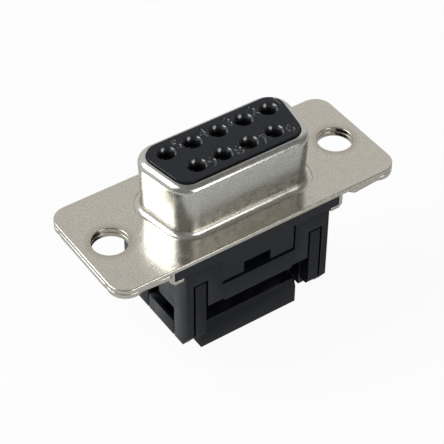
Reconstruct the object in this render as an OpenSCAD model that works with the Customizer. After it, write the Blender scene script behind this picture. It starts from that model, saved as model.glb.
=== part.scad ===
// Nine-way D-subminiature socket connector for flat ribbon cable.
// The origin is on the front face of the flange, midway between the two mounting
// holes. +Z is the mating direction, +X runs along the flange towards contact 1
// and +Y points to the row of five sockets.

/* [Flange] */
// Length of the flange
flange_l = 30.8; // [29.5:0.1:37]
// Width of the flange
flange_w = 12.5; // [12.2:0.1:15]
// Radius of the flange corners
flange_corner_r = 2.5; // [1:0.1:3]
// Thickness of the steel sheet
sheet_t = 0.5; // [0.35:0.05:0.6]
// Distance between the mounting holes
hole_spacing = 24.99; // [24.2:0.01:26]
// Diameter of the mounting holes
hole_d = 3.4; // [2.8:0.1:4]

/* [Shroud] */
// Height of the shroud above the flange
shroud_h = 5.7; // [5:0.1:8]
// Wall of the drawn shroud
shroud_wall = 0.4; // [0.37:0.01:0.45]
// Draft of the drawn wall in degrees
shroud_draft = 0.5; // [0:0.5:2]
// Radius of the fillet at the foot of the shroud
root_r = 0.45; // [0.3:0.05:0.8]
// Outer radius of the lip that turns in round the socket face
lip_r = 0.72; // [0.5:0.01:0.74]
// Height of the socket face above the lip
face_proud = 0.27; // [0.1:0.01:0.5]
// Radius of the corners of the socket face
nose_corner_r = 1.45; // [1.2:0.05:2.2]
// Slope of the ends of the D in degrees
keystone = 10; // [8:0.5:12]

/* [Contacts] */
// Distance between neighbouring sockets in a row
pitch = 2.77; // [2.6:0.01:3.3]
// Distance between the two rows
row_gap = 2.84; // [2.7:0.01:3]
// Diameter of the socket entry
entry_d = 1.15; // [0.95:0.05:1.35]
// Diameter of the funnel at the mouth of each socket
funnel_d = 1.85; // [1.5:0.05:2]
// Outer diameter of the contact barrel
barrel_d = 1.5; // [1.3:0.05:1.55]
// Thickness of the contact strip
strip_t = 0.3; // [0.2:0.05:0.35]
// Width of the cutting blade
blade_w = 1.1; // [0.9:0.05:1.15]
// Conductor pitch of the ribbon cable
ribbon_pitch = 1.27; // [1.2:0.01:1.3]
// Reach of the blades below the base
blade_reach = 2.5; // [1.8:0.1:2.6]

/* [Housing] */
// Length of the ledge behind the flange
ledge_l = 18.1; // [17.6:0.1:18.5]
// Thickness of the ledge
ledge_t = 2.06; // [1.6:0.02:2.6]
// Length of the base
base_l = 15.9; // [15.5:0.1:16.3]
// Depth of the base, from front to back
base_d = 10.8; // [10.2:0.1:13]
// Height of the base above the ribbon gap
panel_h = 5.3; // [5:0.1:6.5]
// Height of the end posts of the base
post_h = 9.55; // [9.2:0.05:11]

/* [Ribbon cover] */
// Height of the ribbon gap with the cover up in its first latch
gap_h = 3.7; // [3.6:0.1:4.5]
// Length of the cover between the posts
cover_l = 11; // [9.2:0.1:11.1]
// Depth of the cover
cover_d = 8; // [7.4:0.1:9]
// Thickness of the cover
cover_t = 3; // [2.4:0.1:4]
// Closing travel of the cover
travel = 1.7; // [1:0.1:1.8]

/* [Hidden] */
$fn = 64;
eps = 0.01; // small overrun of a cut past the face that it opens

// Clearances between pieces
fit_gap = 0.05;   // pieces pressed or trapped together
slide_gap = 0.15; // the cover's lugs and arms in the base
blade_gap = 0.2;  // the blades in the slots of the cover
cavity_gap = 0.1; // a contact in its cavity

// Socket face
face_margin_x = 1.46; // from the outermost socket's axis to the middle of the sloped end
face_margin_y = 1.56; // from each row's axis to the long edge of the face
face_half_l = 2 * pitch + face_margin_x;
face_half_d = row_gap / 2 + face_margin_y;
face_z = shroud_h + face_proud;
lip_t = 0.4;             // thickness of the lip
lip_in = 0.06;           // gap between the face and the inner edge of the lip

// Shroud, as offsets from the outline of the socket face
wall_rise = shroud_h - lip_r;
lip_reach = 0.34; // overhang of the lip inside the wall
wall_out = lip_in + lip_reach + shroud_wall;
root_out = wall_out + wall_rise * tan(shroud_draft);
wall_in = wall_out - shroud_wall;
skirt_out = root_out + root_r + 0.25;
arc_steps = 6; // facets in each bend of the drawn profile

// Ledge and base, from the flange down
ledge_z = -sheet_t;
base_z = ledge_z - ledge_t;
panel_z = base_z - panel_h;
post_z = base_z - post_h;
half_l = base_l / 2;
half_d = base_d / 2;

// Front apron of the insulator and the window in it
apron_l = 7.9;
apron_h = 2.74;
apron_t = 1.2;
apron_slot = 0.4; // slot left under the apron and at its right end
window_x = [-1.68, 1.28];
window_h = 1.2;
window_depth = 1.1; // depth of the base's pocket behind the window and the slot

// Posts at the ends of the base
post_in = cover_l / 2 + slide_gap; // inner face of the posts
column_w = 1.25; // width of the strip that the slits mark out on each post
column_z = post_z + 0.75;
slit_w = 0.2;
slit_t = 1.2;
slit_top = base_z - 1.7;
front_bay_y = -3.2; // the bay between the posts, where the cover's lug slides
back_bay_y = 1.35;
wall_back_y = -0.5; // back edge of the end wall over the bay
wall_z = panel_z - 0.7; // lower edge of that wall
wall_step = 0.1; // the wall lies this far inside the end faces of the posts
channel_x = post_in + 0.05; // inner face of the channel of the latch arm
channel_top = base_z - 1.4;
toe_run = 0.8;  // chamfer on the front of each post's foot
toe_rise = 1.2;
shoulder_l = 3.85; // half length of the lower middle part of the panel
shoulder_h = 0.26; // rise of the panel's underside beyond it

// Cover
cover_top = panel_z - gap_h;
cover_z = cover_top - cover_t;
cover_chamfer = [0.3, 0.9];
saddle_h = 0.5;   // raised bed of the ribbon
saddle_half_d = 2.25;
lug_top = wall_z - travel - 0.05;
lug_wall = 0.35; // wall round the pocket in the top of each lug
lug_pocket = 1.0;
arm_t = 0.7;
arm_top = channel_top - travel - 0.15;
barb = [0.28, 0.6];
pocket_in = 0.35; // depth of the pocket that the barb runs in

// Contacts
back_row_y = row_gap / 2;
cavity_d = 1.9;
cavity_top = face_z - 1.7;
barrel_bore = 1.02;
barrel_top = cavity_top - cavity_gap;
barrel_z = ledge_z - 0.3;
barrel_slit = 0.2;
tang_w = 1.0;
jog_h = 1.1; // height over which the flat shifts from the socket pitch to the ribbon pitch
tip_z = panel_z - blade_reach;
throat_w = 0.3;
throat_h = 2.2;
mouth_w = 0.7;
blade_y = back_row_y + barrel_d / 2 - strip_t / 2;
slot_depth = 1.9; // slots in the cover that take the blade tips

// Sockets 1 to 5 run from +X to -X at the back, and 6 to 9 lie between them at the front
function row_of(n) = n <= 5 ? 1 : -1;
function place(n) = n <= 5 ? 3 - n : 7.5 - n;
function socket_x(n) = pitch * place(n);
function socket_y(n) = row_of(n) * back_row_y;
// Neighbouring places are two conductors apart, so a row's blades alternate with the other's
function conductor_x(n) = 2 * ribbon_pitch * place(n);

// Centres of the four corner arcs of the D, counter-clockwise from the back right
function corner(side_x, side_y) = let (
        cy = side_y * (face_half_d - nose_corner_r),
        cx = face_half_l + cy * tan(keystone) - nose_corner_r / cos(keystone))
    [side_x * cx, cy];
// First and last direction of each corner arc
corner_arcs = [
    [corner(1, 1), -keystone, 90],
    [corner(-1, 1), 90, 180 + keystone],
    [corner(-1, -1), 180 + keystone, 270],
    [corner(1, -1), 270, 360 - keystone]];
// Outline of the D, moved outwards by out
function d_outline(out, steps) = [
    for (arc = corner_arcs, i = [0:steps])
        let (a = arc[1] + (arc[2] - arc[1]) * i / steps)
        arc[0] + (nose_corner_r + out) * [cos(a), sin(a)]];
// Points of an arc in a section, from angle a to angle b
function bend(centre, r0, r1, a, b) = [
    for (i = [0:arc_steps])
        let (f = i / arc_steps, t = a + (b - a) * f)
        centre + (r0 + (r1 - r0) * f) * [cos(t), sin(t)]];

// Section of the drawn shell as [offset, height], from the skirt up the outside and down the inside
shell_section = concat(
    [[skirt_out, -sheet_t], [skirt_out, 0]],
    bend([root_out + root_r, root_r], root_r, root_r, 270, 180),
    bend([wall_out - lip_r, wall_rise], lip_r, lip_r, 0, 90),
    [[lip_in, shroud_h], [lip_in, shroud_h - lip_t]],
    bend([wall_out - lip_r, wall_rise], lip_r - lip_t, lip_r - shroud_wall, 90, 0),
    bend([root_out + root_r, root_r], root_r + shroud_wall, root_r + sheet_t, 180, 270));

// A closed section swept round the D: each point of the section is one ring of the mesh
module swept_d(section, steps) {
    rings = [for (p = section) [for (q = d_outline(p[0], steps)) [q[0], q[1], p[1]]]];
    n = len(rings[0]);
    m = len(rings);
    polyhedron(
        points = [for (ring = rings, q = ring) q],
        faces = [for (j = [0:m - 1], i = [0:n - 1])
            let (i2 = (i + 1) % n, j2 = (j + 1) % m)
            each [[j * n + i, j2 * n + i, j2 * n + i2], [j * n + i, j2 * n + i2, j * n + i2]]]);
}

// The D with true arcs, moved outwards by out
module d_shape(out) {
    polygon([for (arc = corner_arcs, a = [arc[1], arc[2]])
        arc[0] + (nose_corner_r + out) * [cos(a), sin(a)]]);
    for (arc = corner_arcs)
        translate(arc[0]) circle(nose_corner_r + out);
}

// A flat sheet with rounded outer corners, from x0 to x1
module sheet_shape(x0, x1, w, r) {
    translate([x0, -w / 2 + r]) square([x1 - x0, w - 2 * r]);
    translate([x0 + r, -w / 2]) square([x1 - x0 - 2 * r, w]);
    for (x = [x0 + r, x1 - r], y = [-w / 2 + r, w / 2 - r])
        translate([x, y]) circle(r);
}

module mounting_holes() {
    for (side = [-1, 1])
        translate([side * hole_spacing / 2, 0, -2 * sheet_t - eps])
            cylinder(d = hole_d, h = 2 * sheet_t + 2 * eps);
}

// Front shell: flange and D-shaped shroud drawn from one sheet
module front_shell() {
    color("silver") {
        difference() {
            translate([0, 0, -sheet_t])
                linear_extrude(sheet_t)
                    sheet_shape(-flange_l / 2, flange_l / 2, flange_w, flange_corner_r);
            translate([0, 0, -sheet_t - eps])
                linear_extrude(sheet_t + 2 * eps)
                    polygon(d_outline(skirt_out, 8));
            mounting_holes();
        }
        swept_d(shell_section, 8);
    }
}

// Rear bracket: an ear behind the flange, with an edge folded round the ledge of the insulator
module bracket(side) {
    ear_in = ledge_l / 2 + 0.75;
    ear_out = flange_l / 2;
    ear_w = flange_w;
    bevel = 0.35;
    hook_t = 0.4;
    hook_w = base_d - 0.1;
    hook_in = half_l + 0.2;
    hook_out = ledge_l / 2 + fit_gap + hook_t;
    mirror([side < 0 ? 1 : 0, 0, 0])
        color("silver")
            difference() {
                union() {
                    translate([0, 0, -2 * sheet_t])
                        linear_extrude(sheet_t)
                            difference() {
                                sheet_shape(ear_in - flange_corner_r, ear_out, ear_w, flange_corner_r);
                                translate([ear_in - 2 * flange_corner_r, -ear_w])
                                    square([2 * flange_corner_r, 2 * ear_w]);
                                for (s = [-1, 1])
                                    translate([ear_in, s * ear_w / 2])
                                        rotate(45)
                                            square(bevel * sqrt(2), center = true);
                            }
                    translate([0, hook_w / 2, 0])
                        rotate([90, 0, 0])
                            linear_extrude(hook_w)
                                polygon([
                                    [ear_in + 0.2, -sheet_t],
                                    [hook_out - hook_t, -sheet_t],
                                    [hook_out - hook_t, base_z - fit_gap],
                                    [hook_in, base_z - fit_gap],
                                    [hook_in, base_z - fit_gap - hook_t],
                                    [hook_out - hook_t, base_z - fit_gap - hook_t],
                                    [hook_out, base_z - fit_gap],
                                    [hook_out, -2 * sheet_t - 0.2],
                                    [hook_out + 0.2, -2 * sheet_t],
                                    [ear_in + 0.2, -2 * sheet_t]]);
                }
                mounting_holes();
            }
}

// Rectangular passage round the flat of contact n, from z0 upwards; it spans the jog to the ribbon pitch
module tang_passage(n, z0, h) {
    w = blade_w + 2 * cavity_gap;
    x0 = min(conductor_x(n) - w / 2, socket_x(n) - tang_w / 2 - cavity_gap);
    x1 = max(conductor_x(n) + w / 2, socket_x(n) + tang_w / 2 + cavity_gap);
    translate([x0, row_of(n) * blade_y - strip_t / 2 - cavity_gap, z0])
        cube([x1 - x0, strip_t + 2 * cavity_gap, h]);
}

// Socket insulator: the D-shaped nose with nine funnelled sockets, its ledge and its front apron
module socket_insulator() {
    color("#26282b")
        difference() {
            union() {
                translate([0, 0, ledge_z - eps])
                    linear_extrude(wall_rise - ledge_z + eps)
                        d_shape(wall_in - fit_gap);
                translate([0, 0, ledge_z])
                    linear_extrude(face_z - ledge_z)
                        d_shape(0);
                translate([-ledge_l / 2, -half_d, base_z])
                    cube([ledge_l, base_d, ledge_t]);
                translate([-apron_l / 2 - 0.05, -half_d, base_z - apron_h])
                    cube([apron_l, apron_t, apron_h + eps]);
            }
            for (n = [1:9])
                translate([socket_x(n), socket_y(n), 0]) {
                    translate([0, 0, base_z - eps])
                        cylinder(d = cavity_d, h = cavity_top - base_z + eps);
                    cylinder(d = entry_d, h = face_z);
                    translate([0, 0, face_z - (funnel_d - entry_d) / 2])
                        cylinder(d1 = entry_d, d2 = funnel_d + 2 * eps, h = (funnel_d - entry_d) / 2 + eps);
                }
            for (n = [1:9])
                tang_passage(n, base_z - eps, jog_h + cavity_gap + eps);
            translate([window_x[0], -half_d - eps, base_z - apron_h - eps])
                cube([window_x[1] - window_x[0], apron_t + 2 * eps, window_h + eps]);
        }
}

// One end of the base, on the +X side: bay, channel, slits and chamfered feet
module base_end_cuts() {
    // bay between the posts, under the end wall
    translate([post_in, front_bay_y, post_z - eps])
        cube([half_l, back_bay_y - front_bay_y, wall_z - post_z + eps]);
    // the end wall lies a little inside the end faces of the posts
    translate([half_l - wall_step, front_bay_y, wall_z - eps])
        cube([half_l, wall_back_y - front_bay_y + eps, base_z - wall_z + 2 * eps]);
    // channel of the latch arm, open at the end of the base
    translate([channel_x, wall_back_y, post_z - eps])
        cube([half_l, back_bay_y - wall_back_y, channel_top - post_z + eps]);
    // pocket that the barb of the arm runs in
    translate([channel_x - pocket_in, wall_back_y, arm_top - barb[1] - 0.1])
        cube([half_l, back_bay_y - wall_back_y, channel_top - arm_top + barb[1] + 0.1]);
    for (s = [-1, 1]) {
        // slits that mark out the column on the front and back of the post
        for (x = [post_in - eps, post_in + column_w + slit_w / 2])
            translate([x, s * half_d - slit_t, post_z - eps])
                cube([slit_w + eps, 2 * slit_t, slit_top - post_z]);
        translate([post_in, s * half_d - slit_t, slit_top - slit_w])
            cube([column_w + 1.5 * slit_w, 2 * slit_t, slit_w]);
        // the column stops short of the feet
        translate([post_in - eps, s * half_d - slit_t, post_z - eps])
            cube([column_w + 1.5 * slit_w, 2 * slit_t, column_z - post_z]);
        // chamfer under the foot
        translate([post_in - eps, s * half_d, post_z])
            rotate([90, 0, 90])
                linear_extrude(half_l)
                    polygon([[-s * toe_run, -eps], [s * eps, -eps], [s * eps, toe_rise]]);
    }
}

// Base: carries the contact blades, the ribbon gap and the posts that guide the cover
module idc_base() {
    color("#1f2123")
        difference() {
            translate([-half_l, -half_d, post_z])
                cube([base_l, base_d, post_h]);
            // ribbon gap between the posts
            translate([-post_in, -half_d - eps, post_z - eps])
                cube([2 * post_in, base_d + 2 * eps, panel_z - post_z + eps]);
            // the panel's underside is higher beside the posts
            for (s = [0, 1])
                mirror([s, 0, 0])
                    translate([shoulder_l, -half_d - eps, panel_z - eps])
                        cube([post_in - shoulder_l, base_d + 2 * eps, shoulder_h + eps]);
            // seat of the apron, with the slot under it and at its right end
            translate([-apron_l / 2 - 0.05, -half_d - eps, base_z - apron_h - apron_slot])
                cube([apron_l + apron_slot / 2, apron_t + fit_gap + eps, apron_h + apron_slot + eps]);
            // deeper pockets behind the slot and behind the window
            translate([-apron_l / 2 - 0.05, -half_d, base_z - apron_h - apron_slot])
                cube([apron_l + apron_slot / 2, apron_t + window_depth, apron_slot]);
            translate([window_x[0], -half_d, base_z - apron_h - apron_slot])
                cube([window_x[1] - window_x[0], apron_t + window_depth, apron_slot + window_h]);
            for (s = [0, 1])
                mirror([s, 0, 0]) base_end_cuts();
            for (n = [1:9])
                translate([conductor_x(n), row_of(n) * blade_y, tip_z - cavity_gap])
                    translate([-blade_w / 2 - cavity_gap, -strip_t / 2 - cavity_gap, 0])
                        cube([blade_w + 2 * cavity_gap, strip_t + 2 * cavity_gap, base_z - tip_z + 1]);
        }
}

// Ribbon cover: a bar with a grooved bed, lugs that slide between the posts and two latch arms
module ribbon_cover() {
    lug_y0 = front_bay_y + slide_gap;
    lug_y1 = back_bay_y - slide_gap;
    arm_y0 = wall_back_y + slide_gap;
    arm_x0 = channel_x + slide_gap;
    color("#1f2123")
        difference() {
            union() {
                rotate([90, 0, 90])
                    translate([0, 0, -cover_l / 2])
                        linear_extrude(cover_l)
                            polygon([
                                [-cover_d / 2, cover_z],
                                [cover_d / 2, cover_z],
                                [cover_d / 2, cover_top - cover_chamfer[1]],
                                [cover_d / 2 - cover_chamfer[0], cover_top],
                                [saddle_half_d, cover_top],
                                [saddle_half_d - saddle_h, cover_top + saddle_h],
                                [saddle_h - saddle_half_d, cover_top + saddle_h],
                                [-saddle_half_d, cover_top],
                                [cover_chamfer[0] - cover_d / 2, cover_top],
                                [-cover_d / 2, cover_top - cover_chamfer[1]]]);
                translate([-half_l, lug_y0, post_z])
                    cube([base_l, lug_y1 - lug_y0, cover_top - post_z]);
                for (s = [0, 1])
                    mirror([s, 0, 0]) {
                        translate([cover_l / 2 - 0.4, lug_y0, post_z])
                            cube([half_l - cover_l / 2 + 0.4, lug_y1 - lug_y0, lug_top - post_z]);
                        translate([arm_x0, arm_y0, post_z])
                            cube([arm_t, lug_y1 - arm_y0, arm_top - post_z]);
                        translate([0, lug_y1, 0])
                            rotate([90, 0, 0])
                                linear_extrude(lug_y1 - arm_y0)
                                    polygon([
                                        [arm_x0 + eps, arm_top],
                                        [arm_x0 - 0.1, arm_top],
                                        [arm_x0 - barb[0], arm_top - 0.25],
                                        [arm_x0 - barb[0], arm_top - barb[1]],
                                        [arm_x0 + eps, arm_top - barb[1]]]);
                    }
            }
            // pocket in the top of each lug
            for (s = [0, 1])
                mirror([s, 0, 0])
                    translate([cover_l / 2 + lug_wall, lug_y0 + lug_wall, lug_top - lug_pocket])
                        cube([
                            half_l - cover_l / 2 - 2 * lug_wall,
                            arm_y0 - lug_y0 - 2 * lug_wall,
                            lug_pocket + eps]);
            for (n = [1:9]) {
                // slot that takes the tip of the blade, and runs up through a lug that reaches it
                slot_z = cover_top + saddle_h - slot_depth;
                translate([conductor_x(n), row_of(n) * blade_y, slot_z])
                    translate([-blade_w / 2 - blade_gap, -strip_t / 2 - blade_gap, 0])
                        cube([blade_w + 2 * blade_gap, strip_t + 2 * blade_gap, lug_top - slot_z + eps]);
                // groove that holds the conductor in line
                translate([conductor_x(n), saddle_half_d, cover_top + saddle_h + 0.32])
                    rotate([90, 0, 0])
                        cylinder(d = ribbon_pitch - 0.1, h = 2 * saddle_half_d);
            }
        }
}

// Contact: a slit socket barrel rolled at the top of a flat blade with a V-mouthed throat
module contact(n) {
    side = row_of(n);
    shift = conductor_x(n) - socket_x(n);
    shoulder_z = base_z + cavity_gap;
    jog_z = base_z + jog_h;
    color("gold")
        translate([socket_x(n), socket_y(n), 0]) {
            difference() {
                translate([0, 0, barrel_z])
                    cylinder(d = barrel_d, h = barrel_top - barrel_z);
                translate([0, 0, barrel_z - eps])
                    cylinder(d = barrel_bore, h = barrel_top - barrel_z + 2 * eps);
                translate([0, 0, barrel_top - 0.2])
                    cylinder(d1 = barrel_bore, d2 = barrel_d - 0.1, h = 0.2 + eps);
                translate([-barrel_slit / 2, -barrel_d, barrel_top - 3])
                    cube([barrel_slit, 2 * barrel_d, 3 + eps]);
            }
            translate([0, side * (blade_y - back_row_y) + strip_t / 2, 0])
                rotate([90, 0, 0])
                    linear_extrude(strip_t)
                        polygon([
                            [-tang_w / 2, barrel_z + 0.5],
                            [-tang_w / 2, jog_z],
                            [shift - tang_w / 2, shoulder_z],
                            [shift - blade_w / 2, shoulder_z],
                            [shift - blade_w / 2, tip_z + 0.5],
                            [shift - mouth_w / 2 - 0.15, tip_z],
                            [shift - mouth_w / 2, tip_z],
                            [shift - throat_w / 2, tip_z + 0.7],
                            [shift - throat_w / 2, tip_z + throat_h],
                            [shift + throat_w / 2, tip_z + throat_h],
                            [shift + throat_w / 2, tip_z + 0.7],
                            [shift + mouth_w / 2, tip_z],
                            [shift + mouth_w / 2 + 0.15, tip_z],
                            [shift + blade_w / 2, tip_z + 0.5],
                            [shift + blade_w / 2, shoulder_z],
                            [shift + tang_w / 2, shoulder_z],
                            [tang_w / 2, jog_z],
                            [tang_w / 2, barrel_z + 0.5]]);
        }
}

front_shell();
bracket(-1);  // left_bracket
bracket(1);  // right_bracket
socket_insulator();
idc_base();
ribbon_cover();
contact(1);  // contact_1
contact(2);  // contact_2
contact(3);  // contact_3
contact(4);  // contact_4
contact(5);  // contact_5
contact(6);  // contact_6
contact(7);  // contact_7
contact(8);  // contact_8
contact(9);  // contact_9
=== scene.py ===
import math

import bmesh
import bpy
import numpy as np
from mathutils import Matrix, Quaternion, Vector
from mathutils.geometry import tessellate_polygon


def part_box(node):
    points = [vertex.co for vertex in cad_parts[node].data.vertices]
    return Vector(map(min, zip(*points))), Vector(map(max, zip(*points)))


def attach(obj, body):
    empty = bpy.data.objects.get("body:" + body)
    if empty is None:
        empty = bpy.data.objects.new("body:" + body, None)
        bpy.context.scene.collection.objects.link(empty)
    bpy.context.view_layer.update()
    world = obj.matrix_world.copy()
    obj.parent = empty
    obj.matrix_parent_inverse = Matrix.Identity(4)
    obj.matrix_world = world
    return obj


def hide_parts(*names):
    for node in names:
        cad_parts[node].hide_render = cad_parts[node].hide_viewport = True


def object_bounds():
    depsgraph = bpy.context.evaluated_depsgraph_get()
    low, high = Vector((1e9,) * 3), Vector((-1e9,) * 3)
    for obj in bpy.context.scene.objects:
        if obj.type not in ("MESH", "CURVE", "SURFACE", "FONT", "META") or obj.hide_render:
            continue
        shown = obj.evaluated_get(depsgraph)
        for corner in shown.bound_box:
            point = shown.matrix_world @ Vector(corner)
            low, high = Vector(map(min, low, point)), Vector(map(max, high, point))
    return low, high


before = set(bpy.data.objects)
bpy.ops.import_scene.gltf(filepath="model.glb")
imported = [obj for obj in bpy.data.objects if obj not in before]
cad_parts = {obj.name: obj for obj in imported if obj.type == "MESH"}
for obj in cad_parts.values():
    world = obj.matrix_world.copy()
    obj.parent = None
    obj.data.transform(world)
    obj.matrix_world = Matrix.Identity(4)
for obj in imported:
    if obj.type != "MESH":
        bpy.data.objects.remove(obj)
cad_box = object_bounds()

# ---------------------------------------------------------------------------
# Camera, floor and light. The connector stands on the flat foot of its ribbon
# cover on a pale table, seen from the front left at about 43 degrees above.
# ---------------------------------------------------------------------------
MM = 0.001
view_azimuth = math.radians(-34.595)
view_elevation = math.radians(43.346)
view_roll = math.radians(0.42)
view_distance = 148.5 * MM
view_aim = Vector((-1.488, -1.516, -2.242)) * MM


def placed(name, data):
    """A new object of the scene that holds the given data."""
    thing = bpy.data.objects.new(name, data)
    bpy.context.scene.collection.objects.link(thing)
    return thing


camera_data = bpy.data.cameras.new("camera")
camera_data.sensor_width = 36.0
camera_data.lens = 131.18
camera_data.clip_start, camera_data.clip_end = 1 * MM, 10.0
camera = placed("camera", camera_data)
view_back = Vector((
    math.sin(view_azimuth) * math.cos(view_elevation),
    -math.cos(view_azimuth) * math.cos(view_elevation),
    math.sin(view_elevation)))
camera.rotation_mode = "QUATERNION"
level_view = (-view_back).to_track_quat("-Z", "Y")
camera.rotation_quaternion = level_view @ Quaternion((0, 0, 1), view_roll)
camera.location = view_aim + view_back * view_distance
bpy.context.scene.camera = camera
bpy.context.scene.view_settings.view_transform = "Standard"

lamp_distance = 0.42


def softbox(name, direction, width, height, watts, colour=(1, 1, 1)):
    """A rectangular area lamp in the given direction from the origin, turned to face it."""
    lamp_data = bpy.data.lights.new(name, "AREA")
    lamp_data.shape, lamp_data.size, lamp_data.size_y = "RECTANGLE", width, height
    lamp_data.energy, lamp_data.color = watts, colour
    lamp = placed(name, lamp_data)
    towards = Vector(direction).normalized()
    lamp.location = towards * lamp_distance
    lamp.rotation_mode = "QUATERNION"
    lamp.rotation_quaternion = (-towards).to_track_quat("-Z", "Y")


softbox("left_back_softbox", (-0.61, 0.42, 0.67), 0.26, 0.26, 2.0, (0.90, 0.95, 1.0))
softbox("front_strip_light", (0.15, -0.90, 0.41), 0.22, 0.18, 0.85)


def feed(tree, shader_node, inputs):
    """Joins each named input of a node to a socket, or sets it to a value."""
    for name, value in inputs.items():
        if isinstance(value, bpy.types.NodeSocket):
            tree.links.new(value, shader_node.inputs[name])
        else:
            shader_node.inputs[name].default_value = value


def add_node(tree, kind, inputs=None, **settings):
    """A new node of a tree with its settings made and its inputs fed."""
    made = tree.nodes.new(kind)
    for key, value in settings.items():
        setattr(made, key, value)
    feed(tree, made, inputs or {})
    return made


def arithmetic(tree, operation, *values):
    """The result of one sum on sockets or numbers."""
    return add_node(tree, "ShaderNodeMath", dict(enumerate(values)), operation=operation).outputs[0]


def ramp(tree, value, low, high, start=0.3, end=0.7, curve="LINEAR"):
    """Maps a value from start..end to low..high; low and high are numbers or colours."""
    if isinstance(low, tuple):
        share = ramp(tree, value, 0.0, 1.0, start, end, curve)
        return add_node(
            tree, "ShaderNodeMix", {"Factor": share, "A": (*low, 1), "B": (*high, 1)},
            data_type="RGBA").outputs["Result"]
    return add_node(
        tree, "ShaderNodeMapRange",
        {"Value": value, "From Min": start, "From Max": end, "To Min": low, "To Max": high},
        interpolation_type=curve).outputs["Result"]


def seen_by(tree, *rays):
    """A value that is 1 for any of the named kinds of ray, and 0 for the rest."""
    path = add_node(tree, "ShaderNodeLightPath")
    total = path.outputs[rays[0]]
    for ray in rays[1:]:
        total = arithmetic(tree, "MAXIMUM", total, path.outputs[ray])
    return total


# The world: a white sweep behind the object, a darker ceiling, and a darker room in front of it.
white = (1, 1, 1, 1)
world = bpy.data.worlds.new("studio")
bpy.context.scene.world = world
world.use_nodes = True
room = world.node_tree
room.nodes.clear()
heading = add_node(
    room, "ShaderNodeSeparateXYZ", {0: add_node(room, "ShaderNodeTexCoord").outputs["Generated"]})
behind = ramp(room, heading.outputs["Y"], 0.0, 1.0, -0.15, 0.35, "SMOOTHSTEP")
under_ceiling = ramp(room, heading.outputs["Z"], 1.0, 0.0, 0.72, 0.90, "SMOOTHSTEP")
sweep = arithmetic(room, "MULTIPLY", behind, under_ceiling)
sweep_level = ramp(room, sweep, 0.32, 0.95, 0.0, 1.0)
white_level = arithmetic(room, "MAXIMUM", seen_by(room, "Is Camera Ray"), sweep_level)
room_fill = add_node(room, "ShaderNodeBackground", {"Color": (0.95, 0.97, 1.0, 1), "Strength": 0.42})
room_white = add_node(room, "ShaderNodeBackground", {"Color": white, "Strength": white_level})
room_mix = add_node(room, "ShaderNodeMixShader", {
    0: seen_by(room, "Is Camera Ray", "Is Glossy Ray", "Is Transmission Ray"),
    1: room_fill.outputs[0], 2: room_white.outputs[0]})
add_node(room, "ShaderNodeOutputWorld", {"Surface": room_mix.outputs[0]})

# The floor: nearly white to the camera, much dimmer in the metal, and a plain grey to the light.
floor_half = 0.6
white_to_camera, white_in_metal = 0.93, 0.2
floor_z = cad_box[0].z
floor_mesh = bpy.data.meshes.new("floor")
floor_mesh.from_pydata(
    [(x * floor_half, y * floor_half, floor_z) for x, y in ((-1, -1), (1, -1), (1, 1), (-1, 1))],
    [], [(0, 1, 2, 3)])
floor = placed("floor", floor_mesh)
floor_material = bpy.data.materials.new("pale_floor")
floor_material.use_nodes = True
floor_tree = floor_material.node_tree
floor_tree.nodes.clear()
seen_white = arithmetic(
    floor_tree, "MULTIPLY", seen_by(floor_tree, "Is Camera Ray"), white_to_camera)
mirrored_white = arithmetic(
    floor_tree, "MULTIPLY", seen_by(floor_tree, "Is Glossy Ray", "Is Transmission Ray"), white_in_metal)
floor_plain = add_node(floor_tree, "ShaderNodeBsdfDiffuse", {"Color": (0.60, 0.60, 0.59, 1)})
floor_white = add_node(floor_tree, "ShaderNodeEmission", {"Color": white, "Strength": 1.0})
floor_mix = add_node(floor_tree, "ShaderNodeMixShader", {
    0: arithmetic(floor_tree, "MAXIMUM", seen_white, mirrored_white),
    1: floor_plain.outputs[0], 2: floor_white.outputs[0]})
add_node(floor_tree, "ShaderNodeOutputMaterial", {"Surface": floor_mix.outputs[0]})
floor.data.materials.append(floor_material)

# ---------------------------------------------------------------------------
# Front shell. One sheet of tin-plated steel: a flat flange with two screw
# holes, and a D-shaped shroud drawn up out of it, whose top edge turns in
# round the socket face. The press leaves soft edges on the sheet.
# ---------------------------------------------------------------------------
shell_low, shell_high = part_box("front_shell")
sheet_t = -shell_low.z
shroud_h = shell_high.z
flange_half_l, flange_half_w = shell_high.x, shell_high.y
flange_corner_r = 1.75 * MM
hole_x, hole_r = 24.99 / 2 * MM, 1.7 * MM
sheet_edge_r = 0.10 * MM
flat_step = 0.02 * MM
weld_gap = 0.001 * MM
shell_smooth_angle = math.radians(35)

# The D is the outline of the socket face: rows 2.84 mm apart, ends sloped by 10 degrees.
keystone = math.radians(10)
face_half_l, face_half_d, face_corner_r = 7.0 * MM, 2.98 * MM, 1.45 * MM


def arc(centre, radius, start, end, steps):
    """Points at centre + radius * (cos t, sin t), with t running evenly from start to end degrees."""
    t = np.radians(np.linspace(start, end, steps + 1))
    return np.asarray(centre) + radius * np.stack([np.cos(t), np.sin(t)], axis=-1)


def d_outline(grow, steps=20):
    """The D grown outwards: four arcs about fixed centres, each from one side's normal to the next."""
    slope = math.degrees(keystone)
    y = face_half_d - face_corner_r
    x_back = face_half_l + y * math.tan(keystone) - face_corner_r / math.cos(keystone)
    x_front = face_half_l - y * math.tan(keystone) - face_corner_r / math.cos(keystone)
    r = face_corner_r + grow
    return np.concatenate([
        arc((x_back, y), r, -slope, 90, steps),
        arc((-x_back, y), r, 90, 180 + slope, steps),
        arc((-x_front, -y), r, 180 + slope, 270, steps),
        arc((x_front, -y), r, 270, 360 - slope, steps)])


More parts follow.
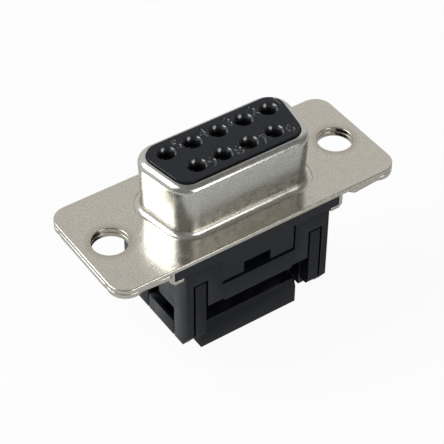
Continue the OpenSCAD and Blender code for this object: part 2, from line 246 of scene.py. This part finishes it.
def flange_outline(grow, steps=14):
    """The flange grown outwards: a rectangle with round corners, four arcs about fixed centres."""
    r = flange_corner_r + grow
    x, y = flange_half_l - flange_corner_r, flange_half_w - flange_corner_r
    return np.concatenate([
        arc((x, y), r, 0, 90, steps), arc((-x, y), r, 90, 180, steps),
        arc((-x, -y), r, 180, 270, steps), arc((x, -y), r, 270, 360, steps)])


def hole_outline(side, steps=72):
    """The screw hole on one side, 1 or -1, as a function of how far its circle is grown."""
    def outline(grow):
        return arc((side * hole_x, 0), hole_r + grow, 0, 360, steps)[:-1]
    return outline


def carried(section, outline):
    """A section of (grow, height) pairs carried round: ring k is outline(grow k) at height k."""
    rings = [outline(grow) for grow, _ in section]
    n, m = len(rings[0]), len(rings)
    heights = np.repeat([height for _, height in section], n)
    k, i = np.meshgrid(np.arange(m - 1), np.arange(n), indexing="ij")
    j = (i + 1) % n
    quads = np.stack([k * n + i, k * n + j, (k + 1) * n + j, (k + 1) * n + i], axis=-1)
    return np.column_stack([np.concatenate(rings), heights]), quads.reshape(-1, 4)


def flat_sheet(height, *loops):
    """A level face at a height, inside the first loop and outside the rest, cut into triangles."""
    points = np.concatenate(loops)
    faces = tessellate_polygon([[Vector((x, y, 0)) for x, y in loop] for loop in loops])
    return np.column_stack([points, np.full(len(points), height)]), np.array(faces)


def joined_mesh(name, patches):
    """One mesh from patches of (points, faces), welded, facing outwards and smooth at gentle bends."""
    mesh = bpy.data.meshes.new(name)
    points, faces, start = [], [], 0
    for patch_points, patch_faces in patches:
        points.append(patch_points)
        faces.extend((patch_faces + start).tolist())
        start += len(patch_points)
    mesh.from_pydata(np.concatenate(points).tolist(), [], faces)
    weld = bmesh.new()
    weld.from_mesh(mesh)
    bmesh.ops.remove_doubles(weld, verts=weld.verts, dist=weld_gap)
    bmesh.ops.recalc_face_normals(weld, faces=weld.faces)
    weld.to_mesh(mesh)
    weld.free()
    mesh.shade_smooth()
    mesh.set_sharp_from_angle(angle=shell_smooth_angle)
    return mesh


# Grain: two layers of noise, fine over coarse, for the tone and the relief of a finish.
grain = bpy.data.node_groups.new("grain", "ShaderNodeTree")
grain_inputs = {"Fine per metre": 4000.0, "Coarse per metre": 500.0, "Coarse share": 0.4}
for name, default in grain_inputs.items():
    socket = grain.interface.new_socket(name, in_out="INPUT", socket_type="NodeSocketFloat")
    socket.default_value = default
for name in ("Fine", "Coarse", "Height"):
    grain.interface.new_socket(name, in_out="OUTPUT", socket_type="NodeSocketFloat")
grain_in = add_node(grain, "NodeGroupInput")
grain_out = add_node(grain, "NodeGroupOutput")
grain_place = add_node(grain, "ShaderNodeTexCoord")
fine_grain, coarse_grain = [
    add_node(grain, "ShaderNodeTexNoise", {
        "Vector": grain_place.outputs["Object"], "Scale": grain_in.outputs[f"{layer} per metre"],
        "Detail": detail}).outputs["Fac"]
    for layer, detail in (("Fine", 2.0), ("Coarse", 3.0))]
grain_mix = add_node(grain, "ShaderNodeMix", {
    "Factor": grain_in.outputs["Coarse share"], "A": fine_grain, "B": coarse_grain})
feed(grain, grain_out, {
    "Fine": fine_grain, "Coarse": coarse_grain, "Height": grain_mix.outputs["Result"]})


def finish_material(
        name, dark, light, metallic, rough, fine, coarse, coarse_share, relief, shine=0.5):
    """A grained finish: colour from dark to light, a range of roughness, and relief of a depth."""
    material = bpy.data.materials.new(name)
    material.use_nodes = True
    tree = material.node_tree
    cloud = add_node(
        tree, "ShaderNodeGroup",
        {"Fine per metre": fine, "Coarse per metre": coarse, "Coarse share": coarse_share},
        node_tree=grain)
    bump = add_node(tree, "ShaderNodeBump", {
        "Strength": 1.0, "Distance": relief, "Height": cloud.outputs["Height"]})
    feed(tree, tree.nodes["Principled BSDF"], {
        "Metallic": metallic, "Specular IOR Level": shine,
        "Base Color": ramp(tree, cloud.outputs["Fine"], dark, light),
        "Roughness": ramp(tree, cloud.outputs["Coarse"], *rough), "Normal": bump.outputs["Normal"]})
    return material


def toned(tree, mask, colour, blend="MULTIPLY"):
    """Blends a colour into the finish's own colour where the mask is 1."""
    shader = tree.nodes["Principled BSDF"]
    own = shader.inputs["Base Color"].links[0].from_socket
    blended = add_node(
        tree, "ShaderNodeMix", {"Factor": mask, "A": own, "B": (*colour, 1)},
        data_type="RGBA", blend_type=blend)
    feed(tree, shader, {"Base Color": blended.outputs["Result"]})


tin_plate = finish_material(
    "satin_tin_plate", (0.40, 0.375, 0.325), (0.55, 0.525, 0.465), 1.0, (0.15, 0.28),
    fine=6500.0, coarse=1100.0, coarse_share=0.75, relief=0.0055 * MM)
tin_tree = tin_plate.node_tree
tin_place = add_node(tin_tree, "ShaderNodeTexCoord").outputs["Object"]

# The punch leaves a darker, browner ring round each screw hole.
punched_ring = 0.8 * MM
on_sheet = add_node(
    tin_tree, "ShaderNodeVectorMath", {0: tin_place, 1: (1, 1, 0)}, operation="MULTIPLY")
one_side = add_node(
    tin_tree, "ShaderNodeVectorMath", {0: on_sheet.outputs[0]}, operation="ABSOLUTE")
from_hole = add_node(
    tin_tree, "ShaderNodeVectorMath", {0: one_side.outputs[0], 1: (hole_x, 0, 0)},
    operation="DISTANCE").outputs["Value"]
near_hole = ramp(tin_tree, from_hole, 1.0, 0.0, hole_r, hole_r + punched_ring)
toned(tin_tree, near_hole, (0.80, 0.76, 0.70))

# Over the flange the plate's colour is shifted a little bluer, a painted reflection tint on the wall;
# drawing works the wall, so up to the lip it is also duller.
drawing_dulls = 0.08
height = add_node(tin_tree, "ShaderNodeSeparateXYZ", {0: tin_place}).outputs["Z"]
above_flange = ramp(tin_tree, height, 0.0, 1.0, 0.02 * MM, 0.3 * MM)
below_lip = ramp(tin_tree, height, 1.0, 0.0, 4.3 * MM, 5.1 * MM)
# Painted reflection tint: the wall over the flange is coloured a little bluer than the flange.
toned(tin_tree, above_flange, (0.97, 1.0, 1.05))
tin_shader = tin_tree.nodes["Principled BSDF"]
plain_roughness = tin_shader.inputs["Roughness"].links[0].from_socket
drawn_wall_only = arithmetic(tin_tree, "MULTIPLY", above_flange, below_lip)
feed(tin_tree, tin_shader, {"Roughness": arithmetic(
    tin_tree, "MULTIPLY_ADD", drawn_wall_only, drawing_dulls, plain_roughness)})

# Section of the drawn wall, as (distance outside the D, height), up the outside and down the inside.
lip_inner, lip_t, lip_r, wall_t = 0.06 * MM, 0.4 * MM, 0.72 * MM, 0.25 * MM
wall_top_out, foot_out = 0.82 * MM, 0.63 * MM
wall_top_z = shroud_h - lip_r
foot_r = 0.66 * MM
foot_line = 0.05 * MM
skirt_out = foot_out + foot_r + 0.25 * MM
lip_edge_r = 0.1 * MM
drawn_wall = np.concatenate([
    [(skirt_out, 0), (foot_out + foot_r + foot_line, 0), (foot_out + foot_r, -foot_line)],
    arc((foot_out + foot_r, foot_r - foot_line), foot_r, 265, 180, 14),
    arc((wall_top_out - lip_r, wall_top_z), lip_r, 0, 90, 12),
    arc((lip_inner + lip_edge_r, shroud_h - lip_edge_r), lip_edge_r, 90, 180, 5),
    [(lip_inner, shroud_h - lip_t)],
    arc((wall_top_out - lip_r, wall_top_z), lip_r - wall_t, 90, 0, 6),
    arc((foot_out + foot_r, foot_r), foot_r + wall_t, 180, 270, 8) + (0, wall_t - sheet_t),
    [(skirt_out, -sheet_t)]])

# Section of the sheet's soft edge, from its front face to its back face.
sheet_edge = np.concatenate([
    [(-sheet_edge_r - flat_step, 0)], arc((-sheet_edge_r, -sheet_edge_r), sheet_edge_r, 90, 0, 5),
    arc((-sheet_edge_r, sheet_edge_r - sheet_t), sheet_edge_r, 0, -90, 5),
    [(-sheet_edge_r - flat_step, -sheet_t)]])
inset = sheet_edge_r + flat_step
screw_holes = [hole_outline(side) for side in (-1, 1)]
shell_patches = [carried(drawn_wall, d_outline), carried(sheet_edge, flange_outline)]
shell_patches += [carried(sheet_edge * (-1, 1), hole) for hole in screw_holes]
sheet_loops = [flange_outline(-inset), d_outline(skirt_out), *[hole(inset) for hole in screw_holes]]
shell_patches += [flat_sheet(z, *sheet_loops) for z in (0, -sheet_t)]
front_shell = placed("drawn_front_shell", joined_mesh("drawn_front_shell", shell_patches))
front_shell.data.materials.append(tin_plate)
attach(front_shell, "connector")
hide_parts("front_shell")

# ---------------------------------------------------------------------------
# Rear brackets. Two ears of the same plated sheet lie behind the ends of the
# flange, drilled in line with it. The inner edge of each is folded down and
# in round the end of the insulator's ledge, and so holds the shell to it.
# ---------------------------------------------------------------------------
bracket_soft_edge = 0.07 * MM
node_corner_r, rim_share = 2.5 * MM, 0.8
copy_weld_gap = 0.002 * MM
flat_angle = math.radians(0.6)
edge_angle = math.radians(28)


def softened(node, name, body, material, edge_r):
    """A moulded or pressed piece: the node's shape, welded, its flat faces joined, its edges rounded."""
    piece_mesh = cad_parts[node].data.copy()
    piece_mesh.name = name
    piece_mesh.materials.clear()
    weld = bmesh.new()
    weld.from_mesh(piece_mesh)
    bmesh.ops.remove_doubles(weld, verts=weld.verts, dist=copy_weld_gap)
    bmesh.ops.dissolve_limit(weld, angle_limit=flat_angle, verts=weld.verts, edges=weld.edges)
    weld.to_mesh(piece_mesh)
    weld.free()
    piece_mesh.shade_smooth()
    piece_mesh.materials.append(material)
    piece = placed(name, piece_mesh)
    bevel = piece.modifiers.new("soft_edges", "BEVEL")
    bevel.width, bevel.segments = edge_r, 2
    bevel.limit_method, bevel.angle_limit = "ANGLE", edge_angle
    bevel.harden_normals = True
    bevel.use_clamp_overlap = True
    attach(piece, body)
    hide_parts(node)
    return piece


def square_up(mesh, old_r):
    """Moves the rim of a corner of radius old_r out to the flange's tighter corner.

    A rim point keeps its heading from the old corner's centre. Its new distance is where that ray
    meets the flange's corner circle, whose centre lies further out, in x and in y, by the
    difference of the two radii. A point that stood inside the rim stays as far inside it.
    """
    points = np.empty(len(mesh.vertices) * 3)
    mesh.vertices.foreach_get("co", points)
    points = points.reshape(-1, 3)
    side = np.sign(points[:, :2])
    reach = np.abs(points[:, :2]) - (flange_half_l - old_r, flange_half_w - old_r)
    distance = np.linalg.norm(reach, axis=1)
    on_rim = (reach > 0).all(axis=1) & (distance > rim_share * old_r)
    heading = reach[on_rim] / distance[on_rim, None]
    shift = old_r - flange_corner_r
    lean = heading.sum(axis=1) * shift
    new_reach = lean + np.sqrt(lean ** 2 - 2 * shift ** 2 + flange_corner_r ** 2)
    corner = np.array((flange_half_l - old_r, flange_half_w - old_r))
    edge_gap = old_r - distance[on_rim, None]
    points[on_rim, :2] = side[on_rim] * (corner + heading * (new_reach[:, None] - edge_gap))
    mesh.vertices.foreach_set("co", points.ravel())


# The ears take the flange's tighter corner in place of the nodes' own.
for node in ("left_bracket", "right_bracket"):
    bracket = softened(
        node, f"pressed_{node}", "connector", tin_plate, bracket_soft_edge)
    square_up(bracket.data, node_corner_r)

# ---------------------------------------------------------------------------
# Socket insulator. A black glass-filled moulding: the D-shaped face with nine
# funnelled sockets, each with its number sunk beside it, and behind the
# flange a ledge and an apron that hangs over the front of the base.
# ---------------------------------------------------------------------------
insulator_soft_edge = 0.06 * MM
black_satin = finish_material(
    "satin_black_moulding", (0.0010, 0.0025, 0.0050), (0.0085, 0.0105, 0.0135), 0.0, (0.28, 0.42),
    fine=7000.0, coarse=900.0, coarse_share=0.35, relief=0.008 * MM, shine=0.19)

# The funnels and the sunk numbers get a glossy coat, and their colour is painted blacker as painted
# shade in these hollows.
satin_tree = black_satin.node_tree
gloss_and_painted_shade = add_node(satin_tree, "ShaderNodeAttribute", attribute_name="glossy_and_shaded").outputs["Fac"]
# Painted shade: the funnels and the sunk numbers are mixed to a blacker colour than the rest of the
# face.
toned(satin_tree, gloss_and_painted_shade, (0.0022, 0.0025, 0.0032), "MIX")
feed(satin_tree, satin_tree.nodes["Principled BSDF"], {"Coat Weight": gloss_and_painted_shade, "Coat Roughness": 0.1})
insulator = softened(
    "socket_insulator", "moulded_socket_insulator", "connector", black_satin,
    insulator_soft_edge)

# The places of the sockets, then the sizes of the sunk numbers and of the funnels.
face_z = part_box("socket_insulator")[1].z
pitch, row_y = 2.77 * MM, 1.42 * MM
digit_h, digit_sunk = 1.15 * MM, 0.1 * MM
digit_share_of_font = 0.7
stroke_lean, stroke_trim = 0.8 * digit_sunk, 0.02 * MM
digit_middle_z = face_z + 0.9 * digit_sunk
digit_dx, digit_dy_back, digit_dy_front = 1.42 * MM, 0.42 * MM, -0.50 * MM
first_digit_back = 0.1 * MM
funnel_r, funnel_foot_r, funnel_deep, funnel_up = 0.925 * MM, 0.57 * MM, 0.6 * MM, 0.2 * MM
funnel_slope = (funnel_r - funnel_foot_r) / funnel_deep


def socket_place(number):
    """Sockets 1 to 5 stand in the back row, from the right, and 6 to 9 half a pitch over in front."""
    return ((3 - number) * pitch, row_y) if number <= 5 else ((7.5 - number) * pitch, -row_y)


def number_solid(number):
    """The number as a solid beside its socket, with strokes that narrow towards the bottom."""
    text = bpy.data.curves.new("number", "FONT")
    text.body = str(number)
    text.size = digit_h / digit_share_of_font
    text.align_x, text.align_y = "CENTER", "CENTER"
    text.extrude, text.bevel_depth, text.bevel_resolution = digit_sunk, stroke_lean, 0
    text.offset = -stroke_trim
    text.resolution_u = 5
    holder = placed("number", text)
    bpy.context.view_layer.update()
    solid = bpy.data.meshes.new_from_object(holder)
    bpy.data.objects.remove(holder)
    x, y = socket_place(number)
    x += digit_dx - (first_digit_back if number == 1 else 0)
    y += digit_dy_back if number <= 5 else digit_dy_front
    solid.transform(Matrix.Translation((x, y, digit_middle_z)))
    return solid


# One cutter holds the nine numbers and a cone for each socket, which makes the funnel steeper.
cutter_shapes = bmesh.new()
for number in range(1, 10):
    cutter_shapes.from_mesh(number_solid(number))
for number in range(1, 10):
    bmesh.ops.create_cone(
        cutter_shapes, cap_ends=True, segments=48, radius1=funnel_foot_r,
        radius2=funnel_r + funnel_up * funnel_slope, depth=funnel_deep + funnel_up,
        matrix=Matrix.Translation((*socket_place(number), face_z + (funnel_up - funnel_deep) / 2)))
bmesh.ops.remove_doubles(cutter_shapes, verts=cutter_shapes.verts, dist=weld_gap)
bmesh.ops.recalc_face_normals(cutter_shapes, faces=cutter_shapes.faces)
cutter_mesh = bpy.data.meshes.new("face_cutter")
cutter_shapes.to_mesh(cutter_mesh)
cutter_shapes.free()
cutter = placed("face_cutter", cutter_mesh)


def finished_mesh(piece):
    """The piece's mesh with its modifiers applied."""
    bpy.context.view_layer.update()
    depsgraph = bpy.context.evaluated_depsgraph_get()
    return bpy.data.meshes.new_from_object(piece.evaluated_get(depsgraph))


# The cut is made at a thousand times the size, because the solver drops details this small.
rounded = finished_mesh(insulator)
insulator.modifiers.clear()
insulator.data = rounded
for mesh in (rounded, cutter_mesh):
    mesh.transform(Matrix.Scale(1 / MM, 4))
cut = insulator.modifiers.new("sunk_numbers", "BOOLEAN")
cut.operation, cut.solver, cut.object = "DIFFERENCE", "MANIFOLD", cutter
numbered = finished_mesh(insulator)
insulator.modifiers.clear()
insulator.data = numbered
bpy.data.objects.remove(cutter)
numbered.transform(Matrix.Scale(MM, 4))

# A face gets the gloss and the painted shade where it lies below the socket face and to the left of
# every side of its rim.
rim_inset, gloss_and_shade_below = 0.12 * MM, face_z - 0.01 * MM
centres = np.empty(len(numbered.polygons) * 3)
numbered.polygons.foreach_get("center", centres)
centres = centres.reshape(-1, 3)
rim = d_outline(-rim_inset)
along = np.roll(rim, -1, axis=0) - rim
to_left = along[:, 0] * (centres[:, 1:2] - rim[:, 1]) - along[:, 1] * (centres[:, :1] - rim[:, 0])
glossy_and_shaded = (to_left > 0).all(axis=1) & (centres[:, 2] < gloss_and_shade_below)
gloss_and_shade_map = numbered.attributes.new("glossy_and_shaded", "FLOAT", "FACE")
gloss_and_shade_map.data.foreach_set("value", glossy_and_shaded.astype(np.float32))

# The cut leaves stale normals, so they are dropped and the flat faces are levelled again.
numbered_smooth_angle = math.radians(50)
if "custom_normal" in numbered.attributes:
    numbered.attributes.remove(numbered.attributes["custom_normal"])
numbered.shade_smooth()
numbered.set_sharp_from_angle(angle=numbered_smooth_angle)
level = insulator.modifiers.new("flat_faces", "WEIGHTED_NORMAL")
level.keep_sharp = True
level.weight = 90

# ---------------------------------------------------------------------------
# Base and ribbon cover. Two mouldings in a duller black: the base carries the
# blades and the four posts, and the cover slides between the posts to press
# the ribbon on to the blades.
# ---------------------------------------------------------------------------
base_soft_edge, cover_soft_edge = 0.07 * MM, 0.06 * MM
black_matt = finish_material(
    "matt_black_moulding", (0.0005, 0.0012, 0.0033), (0.0070, 0.0080, 0.0110), 0.0, (0.26, 0.40),
    fine=6000.0, coarse=700.0, coarse_share=0.35, relief=0.010 * MM, shine=0.20)
softened("idc_base", "moulded_base", "connector", black_matt, base_soft_edge)
softened("ribbon_cover", "moulded_ribbon_cover", "cover", black_matt, cover_soft_edge)

# ---------------------------------------------------------------------------
# Contacts. Nine strips of phosphor bronze, stamped and rolled: a slit barrel
# that grips the pin, and a flat blade whose throat cuts into one conductor.
# They are plated all over, in a pale gold that is a little uneven.
# ---------------------------------------------------------------------------
contact_soft_edge = 0.02 * MM
plated_bronze = finish_material(
    "plated_bronze", (0.62, 0.47, 0.26), (0.74, 0.58, 0.34), 1.0, (0.20, 0.34),
    fine=9000.0, coarse=1200.0, coarse_share=0.3, relief=0.002 * MM)
for number in range(1, 10):
    softened(
        f"contact_{number}", f"stamped_contact_{number}", "connector",
        plated_bronze, contact_soft_edge)
